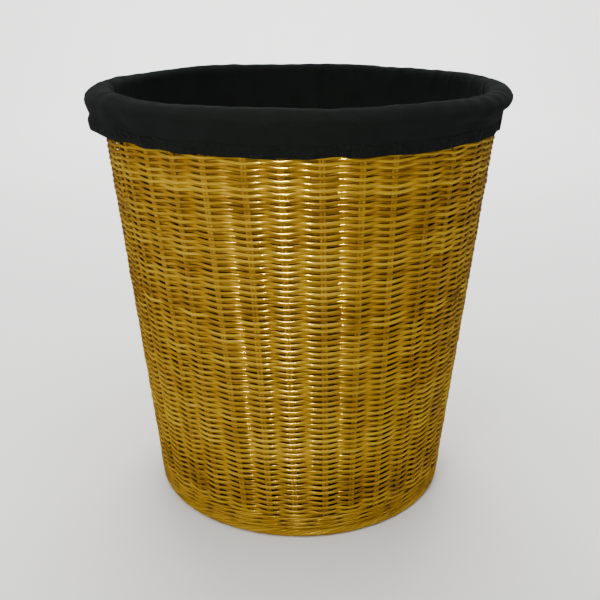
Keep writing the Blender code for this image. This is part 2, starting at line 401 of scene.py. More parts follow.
def add_node(tree: Tree, kind: str, settings: dict | None = None, links: dict | None = None) -> Node:
    """Adds a node with its settings and the links into it.

    Args:
        tree: the material's node tree.
        kind: the node's type, without the word ShaderNode.
        settings: values by name, for a property of the node or else for an input.
        links: the sockets that feed its inputs, by input name or number.

    Returns:
        The node.
    """
    node = tree.nodes.new(f"ShaderNode{kind}")
    for name, value in (settings or {}).items():
        if hasattr(node, str(name)):
            setattr(node, str(name), value)
        else:
            node.inputs[name].default_value = value
    for name, socket in (links or {}).items():
        tree.links.new(socket, node.inputs[name])
    return node


def new_material(name: str) -> tuple[Material, Tree, Node]:
    """Makes an empty material with a Principled shader.

    Args:
        name: the material's name.

    Returns:
        The material, its node tree and the shader.
    """
    made = bpy.data.materials.new(name)
    made.use_nodes = True
    return made, made.node_tree, made.node_tree.nodes["Principled BSDF"]


def set_inputs(shader: Node, values: dict[str, object]) -> None:
    """Sets a shader's inputs to fixed values, by name."""
    for name, value in values.items():
        shader.inputs[name].default_value = value


@dataclass(frozen=True)
class VarnishedCane:
    """Rattan core, drawn round, stained honey and dipped in clear varnish.

    The eye sees a warm translucent yellow that differs a little from cane to cane, fine
    fibres along it, browner patches where stain has soaked in, and a sharp gloss on top.
    """

    name: str
    pale: str = "#C8A224"
    honey: str = "#A67B14"
    toffee: str = "#6A3E0C"
    gloss: float = 0.10
    roughness: float = 0.20
    patch_size: float = 45 * MM
    fibre_width: float = 0.25 * MM

    def build(self) -> Material:
        """Makes the material.

        Returns:
            The material. Tone 0 is the palest cane and tone 1 the brownest.
        """
        made, tree, shader = new_material(self.name)
        where = add_node(tree, "TexCoord")
        patches = add_node(
            tree,
            "TexNoise",
            {"Scale": 1.0 / self.patch_size, "Detail": 3.0, "Roughness": 0.6},
            {"Vector": where.outputs["Object"]},
        )
        # The fibres run along the cane: many periods around it for each one along it.
        places = add_node(tree, "UVMap", {"uv_map": "places"})
        stretched = add_node(
            tree,
            "Mapping",
            {"Scale": (1.0 / (60 * self.fibre_width), 14.0, 1.0)},
            {"Vector": places.outputs["UV"]},
        )
        fibres = add_node(
            tree,
            "TexNoise",
            {"Scale": 1.0, "Detail": 2.0, "Roughness": 0.7},
            {"Vector": stretched.outputs["Vector"]},
        )
        # Shade = tone + 0.75 * (patches - 0.5) + 0.5 * (fibres - 0.5), held from 0 to 1.
        tone = add_node(tree, "Attribute", {"attribute_name": "tone"})
        spread = {"operation": "MULTIPLY_ADD", 1: 0.75, 2: -0.375}
        patched = add_node(tree, "Math", spread, {0: patches.outputs["Fac"]})
        spread = {"operation": "MULTIPLY_ADD", 1: 0.5, 2: -0.25}
        streaked = add_node(tree, "Math", spread, {0: fibres.outputs["Fac"]})
        sums = {0: tone.outputs["Fac"], 1: patched.outputs[0]}
        stained = add_node(tree, "Math", {"operation": "ADD"}, sums)
        sums = {0: stained.outputs[0], 1: streaked.outputs[0]}
        shade = add_node(tree, "Math", {"operation": "ADD", "use_clamp": True}, sums)
        ramp = add_node(tree, "ValToRGB", {}, {"Fac": shade.outputs[0]})
        ramp.color_ramp.elements[0].color = linear(self.pale)
        ramp.color_ramp.elements[1].color = linear(self.toffee)
        ramp.color_ramp.elements.new(0.5).color = linear(self.honey)
        tree.links.new(ramp.outputs["Color"], shader.inputs["Base Color"])
        relief = {"Strength": 0.18, "Distance": 0.1 * MM}
        grain = add_node(tree, "Bump", relief, {"Height": fibres.outputs["Fac"]})
        tree.links.new(grain.outputs["Normal"], shader.inputs["Normal"])
        # The shine is strong and yellow, since light crosses the stained varnish twice.
        set_inputs(shader, {"Roughness": self.roughness, "IOR": 1.8, "Specular IOR Level": 1.0})
        set_inputs(shader, {"Specular Tint": linear("#FFE070")})
        set_inputs(shader, {"Coat Weight": self.gloss, "Coat Roughness": 0.09, "Coat IOR": 1.5})
        return made


@dataclass(frozen=True)
class BlackCotton:
    """Plain-woven cotton, dyed black and washed.

    The eye sees a matt, nearly black cloth, greyer where light grazes its lint, with a
    fine criss-cross of threads. The real threads are 0.3 mm apart, too fine to show, so
    they are drawn 0.9 mm apart.
    """

    name: str = "black_plain_woven_cotton"
    dye: str = "#0E1112"
    worn: str = "#171B1C"
    thread: float = 0.9 * MM
    crumple: float = 4.0 * MM

    def build(self) -> Material:
        """Makes the material.

        Returns:
            The material. Its texture places are metres of cloth, and cloth of tone 1 is
            drawn up on elastic, so that it crumples.
        """
        made, tree, shader = new_material(self.name)
        places = add_node(tree, "UVMap", {"uv_map": "places"}).outputs["UV"]
        bands = {"wave_type": "BANDS", "Scale": WAVE / self.thread, "Distortion": 0.6, "Detail": 1.0}
        warp, weft = (
            add_node(tree, "TexWave", {**bands, "bands_direction": way}, {"Vector": places})
            for way in ("X", "Y")
        )
        threads = {0: warp.outputs["Fac"], 1: weft.outputs["Fac"]}
        weave = add_node(tree, "Math", {"operation": "MAXIMUM"}, threads)
        # Lint lies in patches of a few centimetres, where the black has washed out.
        patches = {"Scale": 28.0, "Detail": 4.0, "Roughness": 0.65}
        lint = add_node(tree, "TexNoise", patches, {"Vector": places})
        colour = add_node(tree, "Mix", {"data_type": "RGBA"}, {0: lint.outputs["Fac"]})
        colour.inputs[6].default_value = linear(self.dye)
        colour.inputs[7].default_value = linear(self.worn)
        tree.links.new(colour.outputs[2], shader.inputs["Base Color"])
        lumps = {"Scale": 1.0 / self.crumple, "Detail": 1.0, "Roughness": 0.5}
        crumple = add_node(tree, "TexNoise", lumps, {"Vector": places})
        gathered = add_node(tree, "Attribute", {"attribute_name": "tone"})
        factors = {0: crumple.outputs["Fac"], 1: gathered.outputs["Fac"]}
        crumples = add_node(tree, "Math", {"operation": "MULTIPLY"}, factors)
        relief = {"Strength": 1.0, "Distance": 2.4 * MM}
        crumpled = add_node(tree, "Bump", relief, {"Height": crumples.outputs[0]})
        relief = {"Strength": 0.5, "Distance": 0.15 * MM}
        below = {"Height": weave.outputs[0], "Normal": crumpled.outputs["Normal"]}
        woven = add_node(tree, "Bump", relief, below)
        tree.links.new(woven.outputs["Normal"], shader.inputs["Normal"])
        set_inputs(shader, {"Roughness": 0.95, "IOR": 1.45, "Specular IOR Level": 0.05})
        set_inputs(shader, {"Sheen Weight": 0.015, "Sheen Roughness": 0.45})
        return made


@dataclass(frozen=True)
class SpunThread:
    """Polyester sewing thread and elastic braid: black, with a slight silky shine."""

    name: str
    colour: str = "#1B1C20"
    roughness: float = 0.55
    twist: float = 0.8 * MM

    def build(self) -> Material:
        """Makes the material, with the twist of its plies as fine bands along it.

        Returns:
            The material.
        """
        made, tree, shader = new_material(self.name)
        bands = {"bands_direction": "DIAGONAL", "Scale": WAVE / self.twist}
        places = add_node(tree, "UVMap", {"uv_map": "places"})
        plies = add_node(tree, "TexWave", bands, {"Vector": places.outputs["UV"]})
        relief = {"Strength": 0.4, "Distance": 0.1 * MM}
        ribbed = add_node(tree, "Bump", relief, {"Height": plies.outputs["Fac"]})
        tree.links.new(ribbed.outputs["Normal"], shader.inputs["Normal"])
        set_inputs(shader, {"Base Color": linear(self.colour), "Roughness": self.roughness})
        return made


@dataclass(frozen=True)
class StudioPaper:
    """Seamless background paper: matt and almost white, with nothing on it to see."""

    name: str = "studio_paper"
    colour: str = "#FBFBFA"

    def build(self) -> Material:
        """Makes the material.

        Returns:
            The material.
        """
        made, _, shader = new_material(self.name)
        set_inputs(shader, {"Base Color": linear(self.colour), "Roughness": 0.9})
        return made


# ---- The basket ----------------------------------------------------------------
@dataclass(frozen=True)
class Wall:
    """The flared wall that the canes follow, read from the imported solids."""

    low: float
    high: float
    low_radius: float
    high_radius: float
    spacing: Ripple
    cane: float = 3.2 * MM
    depth: float = 4.4 * MM  # from the outer face to the stakes' centre lines
    stakes: int = 36
    first_stake: float = math.radians(-90.0 - 0.8)
    lean: float = 0.150  # radians that a stake turns back for each metre it rises
    strays: float = 0.010  # radians by which a stake strays from its even place

    @classmethod
    def from_frame(cls) -> "Wall":
        """Measures the woven wall's outer face.

        Returns:
            The wall.
        """
        low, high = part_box("side_weave")
        _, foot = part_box("upsett_wale")
        top_radius = high.x * FLATS
        foot_radius = foot.x * FLATS
        slope = (top_radius - foot_radius) / (high.z - foot.z)
        low_radius = foot_radius + slope * (low.z - foot.z)
        spacing = Ripple.draw(np.random.default_rng(10), 10, 3, 17, 3.0)
        return cls(low.z, high.z, low_radius, top_radius, spacing)

    def outer(self, height: Array | float) -> Array | float:
        """Radius of the wall's outer face."""
        share = (height - self.low) / (self.high - self.low)
        return self.low_radius + (self.high_radius - self.low_radius) * share

    def middle(self, height: Array | float) -> Array | float:
        """Radius of the stakes' centre lines."""
        return self.outer(height) - self.depth

    def stake_place(self, angle: Array, height: Array) -> Array:
        """How many stakes an angle lies past the first one, at a height."""
        even = angle + self.lean * height + self.strays * self.spacing.at(angle, height)
        return (even - self.first_stake) * self.stakes / TURN

    def stake_angle(self, number: Array, height: Array) -> Array:
        """Angle of a stake, which is stake_place turned round, in a few small steps.

        Args:
            number: the stake's number, counted from the first one.
            height: the height at which it is wanted.

        Returns:
            The angle about Z.
        """
        even = self.first_stake + TURN * number / self.stakes - self.lean * height
        angle = even
        for _ in range(4):
            angle = even - self.strays * self.spacing.at(angle, height)
        return angle


class Side(Enum):
    """Which of the two weavers a cane belongs to."""

    FIRST = 0
    SECOND = 1


@dataclass
class SideWeave:
    """Plain weave, or randing, with two weavers that chase each other round the stakes.

    A weaver climbs two rows in each turn. With c = cos(pi * stakes passed), its radius is
    the stakes' radius + reach * sin(pi/2 * c), so it lies flat over a pair of stakes,
    crosses the wall half way to the next and goes behind that one. It lies sag * c^2 below
    its even height, which opens the small gaps between stakes, and a little lower still
    where it goes behind. The climb is even in the middle of the wall. Near its edges the
    rows lie level and step up at the back, where each weaver's first turn starts early to
    fill the gap under the step.
    """

    wall: Wall
    rows: int = 126
    samples: int = 8
    sides: int = 8
    bands: int = 4
    reach: float = 2.30 * MM
    half_width: float = 1.82 * MM
    depth: float = 0.80  # of a cane, as a share of its width: it is pressed on the stakes
    sag: float = 1.3 * MM  # of a float's middle below the place where it crosses the wall
    tuck: float = 0.35 * MM  # by which a float behind a stake lies below one in front
    tighter: float = 3.2  # more times that tuck at the foot, where the rows are packed hard
    swell: float = 0.02  # by which a float is wider than the cane where it crosses the wall
    level_rows: int = 20  # at each edge, over which the even climb turns into steps
    step: float = 0.06
    lead: tuple[float, float] = (0.035, 0.014)  # turns each weaver makes before the first row
    cane_length: float = 2.7  # after which a new cane is laid in behind a stake
    wander: float = 0.40 * MM  # of all rows together, up and down
    waver: float = 0.14 * MM  # of one weaver by itself
    tone: float = 0.42
    tone_spread: float = 0.15  # from cane to cane
    tone_drift: float = 0.08  # along a cane
    rng: np.random.Generator = field(default_factory=lambda: np.random.default_rng(11))

    def centre_line(self, side: Side) -> tuple[Array, Array, Array]:
        """One weaver from the bottom of the wall to its top.

        Args:
            side: which weaver.

        Returns:
            Its places, its angles and how many stakes it has passed at each.
        """
        wall = self.wall
        lead = self.lead[side.value]
        turns = self.rows / 2 - self.step + lead
        count = int(turns * wall.stakes * self.samples)
        swept = np.arange(count + 1) / (wall.stakes * self.samples) - lead
        angle = wall.first_stake + math.pi + TURN * swept
        swept = np.maximum(swept, 0.0)
        to_edge = np.minimum(2.0 * swept, self.rows - 2.0 * swept)
        level = 1.0 - ease(to_edge / self.level_rows)
        row = 2.0 * (swept + level * (stepped(swept, self.step) - swept)) + side.value
        pitch = (wall.high - wall.low) / self.rows
        height = wall.low + pitch * (row + 0.5)
        wander = self.wander * self.beat.at(angle, row) * (1.0 - 0.6 * level)
        height = height + wander + self.waver * self.jitter[side.value].at(angle, row)
        passed = wall.stake_place(angle, height)
        crossing = np.cos(math.pi * (passed + side.value))
        share = (height - wall.low) / (wall.high - wall.low)
        tuck = self.tuck * (1.0 + self.tighter * (1.0 - share))
        height = height - self.sag * crossing**2 - tuck * ease(-crossing)
        height = np.clip(height, wall.low + wall.cane / 2, wall.high - wall.cane / 2)
        floats = np.rint(passed).astype(int) + wall.stakes
        reach = self.reach * (1.0 + 0.10 * self.slack[floats % len(self.slack)])
        radius = wall.middle(height) + reach * np.sin(math.pi / 2 * crossing)
        return polar(radius, angle, height), angle, passed

    def build(self, finish: Material) -> list[Object]:
        """Makes the weave in bands, from the bottom up.

        Args:
            finish: the canes' material.

        Returns:
            One object for each band.
        """
        self.beat = Ripple.draw(self.rng, 14, 1, 14, 0.05)
        self.jitter = [Ripple.draw(self.rng, 16, 6, 40, 1.5) for _ in Side]
        self.slack = self.rng.normal(0.0, 1.0, 9973)
        bands: list[list[Surface]] = [[] for _ in range(self.bands)]
        for side in Side:
            path, angle, passed = self.centre_line(side)
            length = arc_length(path)
            first = 0
            while first < len(path) - 1:
                goal = length[first] + self.cane_length * self.rng.uniform(0.7, 1.2)
                last = int(np.searchsorted(length, goal))
                last = len(path) - 1 if last > len(path) - 2 * self.samples else last
                if last < len(path) - 1:
                    last = self.tucked(passed, side, last)
                part = slice(first, last + 1)
                cane = self.cane(path[part], angle[part], passed[part] + side.value)
                share = path[(first + last) // 2, 2] - self.wall.low
                band = int(self.bands * share / (self.wall.high - self.wall.low))
                bands[band].append(cane)
                first = last
        made = []
        for number, canes in enumerate(bands):
            made.append(Surface.join(canes).to_object(f"side_weave_band_{number + 1}", finish))
        return made

    def tucked(self, passed: Array, side: Side, near: int) -> int:
        """Finds where one cane can follow another, which is behind a stake.

        Args:
            passed: stakes passed at each place of the weaver.
            side: which weaver.
            near: the place from which to look on.

        Returns:
            The number of the place.
        """
        window = slice(near, near + 2 * self.samples)
        depth = np.cos(math.pi * (passed[window] + side.value))
        return near + int(np.argmin(depth))

    def cane(self, path: Array, angle: Array, passed: Array) -> Surface:
        """One length of cane with its own thickness and tone.

        Args:
            path: its centre line.
            angle: the angle at each place.
            passed: stakes passed at each place, even in front of one and odd behind one.

        Returns:
            The strand.
        """
        half = self.half_width * (1.0 + 0.05 * self.rng.normal())
        wander = Ripple.draw(self.rng, 6, 2, 20, 0.0)
        tone = self.tone + self.tone_spread * self.rng.normal()
        tone = tone + self.tone_drift * wander.at(angle / 3.0, 0.0)
        width = half * (1.0 + 0.04 * wander.at(angle, 0.0))
        width = width * (1.0 + self.swell * np.cos(math.pi * passed) ** 2)
        tone = np.clip(tone, 0.0, 1.0)
        return tube(path, radial(angle), width, self.sides, tone, self.depth)


@dataclass
class SideStakes:
    """Pairs of canes that stand side by side, with their feet bent into the base."""

    wall: Wall
    foot_radius: float = 115 * MM
    base_level: float = 17.2 * MM
    bend: float = 8 * MM
    top: float = 0.4925  # inside the top border
    apart: float = 3.5 * MM  # between the centre lines of a pair
    half_width: float = 1.7 * MM
    depth: float = 0.75  # of a cane, as a share of its width
    sides: int = 8
    rng: np.random.Generator = field(default_factory=lambda: np.random.default_rng(12))

    def centre_line(self) -> Array:
        """A stake's line: a level foot, a quarter bend and the slope of the wall.

        Returns:
            The radius and height of each place.
        """
        slope = (self.wall.high_radius - self.wall.low_radius) / (self.wall.high - self.wall.low)
        lean = math.atan(slope)
        turn = math.pi / 2 - lean
        corner = self.wall.middle(self.base_level)
        start = corner - self.bend * math.tan(turn / 2)
        level = np.linspace(self.foot_radius, start, 8)[:-1]
        foot = np.stack([level, np.full(len(level), self.base_level)], -1)
        angle = np.linspace(0.0, turn, 7)
        rise = self.bend * (1 - np.cos(angle))
        arc = np.stack([start + self.bend * np.sin(angle), self.base_level + rise], -1)
        height = np.linspace(arc[-1, 1], self.top, 40)[1:]
        upright = np.stack([self.wall.middle(height), height], -1)
        return np.concatenate([foot, arc, upright])

    def build(self, finish: Material) -> Object:
        """Makes all the pairs as one object.

        Args:
            finish: the canes' material.

        Returns:
            The object.
        """
        line = self.centre_line()
        forward = unit(np.gradient(line, axis=0))
        canes = []
        for number in range(self.wall.stakes):
            angle = self.wall.stake_angle(number, line[:, 1])
            normal = radial(angle) * forward[:, 1:2] - UP * forward[:, 0:1]
            sideways = np.stack([-np.sin(angle), np.cos(angle), np.zeros_like(angle)], -1)
            for hand in (-0.5, 0.5):
                path = polar(line[:, 0], angle, line[:, 1]) + hand * self.apart * sideways
                tone = np.full(len(line), np.clip(0.50 + 0.12 * self.rng.normal(), 0, 1))
                radius = np.full(len(line), self.half_width)
                canes.append(tube(path, normal, radius, self.sides, tone, self.depth))
        return Surface.join(canes).to_object("side_stakes", finish)


@dataclass
class Wale:
    """Rows of three-rod wale: each rod goes in front of two stakes and behind one.

    With d the stakes between a place and the one that the rod goes behind, held between
    -1.5 and 1.5, the radius is the stakes' radius - reach * cos(pi * d) while d is within 1
    and + reach past it. The rod rises by its own thickness from each stake to the next
    while it is in front, and drops back behind. Each rod starts a little early, to fill
    the gap under the step up from its first row.
    """

    name: str
    wall: Wall
    low: float
    high: float
    rows: int
    rods: int = 3
    lead: float = 0.03  # turns made before the first row
    reach: float = 2.8 * MM
    climb: float = 0.95  # of the slope between stakes, as a share of what packs rods solid
    packing: float = 0.88  # of a rod's thickness, as a share of the room for it
    samples: int = 8
    sides: int = 8
    seed: int = 13

    def build(self, finish: Material) -> Object:
        """Makes the rows as one object.

        Args:
            finish: the rods' material.

        Returns:
            The object.
        """
        rng = np.random.default_rng(self.seed)
        wall = self.wall
        rod = (self.high - self.low) / (2 * self.rows)
        count = int((self.rows + self.lead) * wall.stakes * self.samples)
        rods = []
        for number in range(self.rods):
            swept = np.arange(count + 1) / (wall.stakes * self.samples) - self.lead
            angle = wall.first_stake + math.pi + TURN * swept
            base = self.low + 2 * rod * (stepped(np.maximum(swept, 0.0)) + 0.5)
            base = np.minimum(base, self.high - rod)
            passed = wall.stake_place(angle, base) - number
            behind = np.mod(passed + 0.5, self.rods) - self.rods / 2
            swing = np.where(np.abs(behind) < 1.0, -np.cos(math.pi * behind), 1.0)
            in_front = np.mod(behind, self.rods) - self.rods / 2
            climb = np.where(np.abs(behind) > 0.5, in_front, -2.0 * behind)
            wander = Ripple.draw(rng, 8, 3, 30, 0.0)
            height = base + rod * (self.climb * climb + 0.06 * wander.at(angle, 0.0))
            height = np.clip(height, self.low + rod / 2, self.high - rod / 2)
            reach = self.reach * swing * (1.0 + 0.04 * wander.at(angle, 1.0))
            tone = 0.45 + 0.08 * rng.normal() + 0.08 * wander.at(angle / 2.0, 2.0)
            path = polar(wall.middle(height) + reach, angle, height)
            half = np.full(len(path), self.packing * rod / 2)
            rods.append(tube(path, radial(angle), half, self.sides, np.clip(tone, 0.0, 1.0)))
        return Surface.join(rods).to_object(self.name, finish)


@dataclass
class RolledBorder:
    """A border of many canes rolled round each other into a rope that rings the basket.

    Cane number k sits at the angle 2 pi * (k / canes) + twists * (angle round the basket)
    on a rounded section whose half width and half height are given.
    """

    name: str
    radius: float
    height: float
    half_width: float
    half_height: float
    cane: float
    canes: int
    twists: int
    squareness: float = 0.78
    samples: int = 432
    sides: int = 8
    seed: int = 14

    def build(self, finish: Material) -> Object:
        """Makes the border as one object.

        Args:
            finish: the canes' material.

        Returns:
            The object.
        """
        rng = np.random.default_rng(self.seed)
        angle = TURN * np.arange(self.samples) / self.samples
        hoops = []
        for number in range(self.canes):
            wander = Ripple.draw(rng, 8, 3, 24, 0.0)
            place = TURN * number / self.canes + self.twists * angle + 0.10 * wander.at(angle, 0.0)
            across, up = np.cos(place), np.sin(place)
            across = np.sign(across) * np.abs(across) ** self.squareness
            up = np.sign(up) * np.abs(up) ** self.squareness
            radius = self.radius + (self.half_width - self.cane / 2) * across
            height = self.height + (self.half_height - self.cane / 2) * up
            tone = np.clip(0.45 + 0.10 * rng.normal() + 0.06 * wander.at(angle, 1.0), 0.0, 1.0)
            outward = radial(angle) * across[:, None] + UP * up[:, None]
            path = polar(radius, angle, height)
            hoops.append(hoop(path, outward, self.cane / 2, self.sides, tone))
        return Surface.join(hoops).to_object(self.name, finish)


@dataclass
class Base:
    """The round base: slit sticks, fanned out into spokes, with two weavers round them.

    A weaver's radius grows by two canes a turn, and its height is the sticks' level plus
    reach * tanh(k cos(pi * spokes passed)) / tanh(k), where k is flat, so that it lies
    flat over each spoke and the stakes beside it.
    """

    wall: Wall
    level: float = 17.2 * MM
    hub: float = 26.5 * MM
    rim: float = 170 * MM
    stick: float = 6.0 * MM
    pitch: float = 7.0 * MM
    shaved: float = 3.0 * MM  # thickness left where a stick goes through the slit ones
    across: int = 5  # slit sticks
    through: int = 4  # sticks passed through them
    flat: float = 1.8
    sides: int = 8
    samples: int = 12
    rng: np.random.Generator = field(default_factory=lambda: np.random.default_rng(15))

    @property
    def spokes(self) -> int:
        """How many spokes the sticks' ends make."""
        return 2 * (self.across + self.through)

    @property
    def first_spoke(self) -> float:
        """Angle of the spoke that lies half way between the first two stakes."""
        return float(self.wall.stake_angle(0.5, self.level))

    def weave(self, finish: Material) -> Object:
        """Makes the woven disc.

        Args:
            finish: the canes' material.

        Returns:
            The object.
        """
        cane = self.wall.cane
        rows = int((self.rim - self.hub) / (cane * 1.03))
        pitch = (self.rim - self.hub) / (rows + 1)
        count = int(rows / 2 * self.spokes * self.samples)
        angle = self.first_spoke + TURN * np.arange(count + 1) / (self.spokes * self.samples)
        strands = []
        for side in Side:
            row = 2.0 * (angle - self.first_spoke) / TURN + side.value
            radius = np.minimum(self.hub + pitch * (row + 0.5), self.rim - cane / 2)
            passed = (angle - self.first_spoke) * self.spokes / TURN
            crossing = np.cos(math.pi * (passed + side.value))
            reach = (self.stick + cane) / 2
            height = self.level + reach * np.tanh(self.flat * crossing) / math.tanh(self.flat)
            wander = Ripple.draw(self.rng, 8, 2, 12, 0.4)
            tone = np.clip(0.35 + 0.12 * wander.at(angle / 2.0, row), 0.0, 1.0)
            path = polar(radius, angle, height)
            half = np.full(len(path), 0.98 * cane / 2)
            strands.append(tube(path, np.tile(UP, (len(path), 1)), half, self.sides, tone))
        return Surface.join(strands).to_object("base_weave_canes", finish)

    def stick_path(self, offset: float, fan: float, half_cross: float, lift: Array | float) -> Array:
        """A stick along X: straight through the cross and fanned out at both ends.

        Args:
            offset: how far the stick is from the X axis in the cross.
            fan: angle of its ends from the X axis.
            half_cross: half the length of its straight middle.
            lift: height added where the stick is split or shaved.

        Returns:
            Its centre line, 61 places long.
        """
        end = np.array([self.rim * math.cos(fan), self.rim * math.sin(fan)])
        share = np.linspace(-1.0, 1.0, 61)
        x = np.sign(share) * np.abs(share) * end[0]
        past = np.clip((np.abs(x) - half_cross) / (end[0] - half_cross), 0.0, 1.0)
        # The bend starts smoothly: a straight fan line is met within the first quarter.
        bend = 0.12
        y = offset + (end[1] - offset) * (past - bend * (1.0 - np.exp(-past / bend)) * (1.0 - past))
        return np.stack([x, y, self.level + lift * (1.0 - ease(past * 12.0))], axis=-1)

    def sticks(self, finish: Material) -> Object:
        """Makes all nine sticks, the slit ones as two halves that part round the others.

        Args:
            finish: the sticks' material.

        Returns:
            The object.
        """
        step = TURN / self.spokes
        width = {
            "across": (self.across - 1) * self.pitch + self.stick,
            "through": (self.through - 1) * self.pitch + self.stick,
        }
        parts = []
        for number in range(self.across):
            place = number - (self.across - 1) / 2
            for hand in (-1, 1):
                lift = hand * (self.shaved / 2 + 0.3 * MM)
                half_cross = width["through"] / 2 + 3 * MM
                path = self.stick_path(place * self.pitch, place * step, half_cross, lift)
                parts.append(self.half_stick(path, hand, 0.0))
        for number in range(self.through):
            place = number - (self.through - 1) / 2
            half_cross = width["across"] / 2 + 3 * MM
            path = self.stick_path(place * self.pitch, place * step, half_cross, 0.0)
            for hand in (-1, 1):
                parts.append(self.half_stick(path, hand, half_cross))
        made = Surface.join(parts)
        made.points = self.turned(made.points)
        return made.to_object("base_sticks", finish)

    def turned(self, points: Array) -> Array:
        """Turns the sticks so that their ends lie between the stakes.

        Args:
            points: places on them.

        Returns:
            The places turned about Z.
        """
        angle = self.first_spoke
        c, s = math.cos(angle), math.sin(angle)
        return points @ np.array([[c, s, 0.0], [-s, c, 0.0], [0.0, 0.0, 1.0]])

    def half_stick(self, path: Array, hand: int, shaved_to: float) -> Surface:
        """Half of a round stick, flat where it faces the other half.

        Args:
            path: the split's centre line.
            hand: 1 for the upper half and -1 for the lower.
            shaved_to: how far from the middle the stick is shaved thin, or 0. A shaved
                stick lies along Y.

        Returns:
            The closed half.
        """
        flats = 9
        angle = np.linspace(0.0, math.pi, flats)
        forward = unit(np.gradient(path, axis=0))
        side = unit(np.cross(UP, forward))
        thick = np.ones(len(path))
        if shaved_to:
            past = (np.abs(path[:, 0]) - shaved_to) / self.stick
            thick = self.shaved / self.stick + (1 - self.shaved / self.stick) * ease(past)
        half = self.stick / 2 - 0.05 * MM
        sideways = half * np.cos(angle)[None, :, None] * side[:, None]
        up = hand * (0.04 * MM + half * np.sin(angle))[None, :, None] * thick[:, None, None]
        points = path[:, None] + sideways + up * UP
        if shaved_to:
            points = np.stack([-points[..., 1], points[..., 0], points[..., 2]], axis=-1)
        if hand > 0:
            points = points[:, ::-1]
        tone = np.full(len(path), np.clip(0.55 + 0.1 * self.rng.normal(), 0.0, 1.0))
        length = arc_length(path)
        skin = grid(points, length, np.arange(flats + 1) / flats, tone, wrap=True)
        return capped(skin, flats, length[-1])


# ---- The liner -----------------------------------------------------------------
@dataclass(frozen=True)
class Folds:
    """Slack folds that run slanting down the inside of the bag from its rim.

    Each is a ridge height * exp(-(angle off its line / width)^2) whose line turns by slant
    for each metre down. It starts just under the crown of the rim and dies away below.
    """

    starts: Array
    slants: Array
    heights: Array
    widths: Array

    @classmethod
    def draw(cls, rng: np.random.Generator, count: int) -> "Folds":
        """Draws the folds round the rim.

        Args:
            rng: the source of chance.
            count: how many folds.

        Returns:
            The folds.
        """
        return cls(
            rng.uniform(0.0, TURN, count),
            rng.normal(0.0, 4.0, count),
            rng.uniform(0.4, 1.8, count) * MM,
            rng.uniform(0.010, 0.030, count),
        )

    def at(self, angle: Array, below: Array) -> Array:
        """How far the folds lift the cloth.

        Args:
            angle: angles about Z.
            below: distances along the cloth below the crown of the rim.

        Returns:
            The lift at each place.
        """
        total = np.zeros(np.broadcast(angle, below).shape)
        for start, slant, height, width in zip(
            self.starts, self.slants, self.heights, self.widths
        ):
            off = angle - start - slant * below
            off = np.arctan2(np.sin(off), np.cos(off))
            total += height * np.exp(-((off / width) ** 2))
        return total * ease(below / (14 * MM)) * ease((140 * MM - below) / (90 * MM))


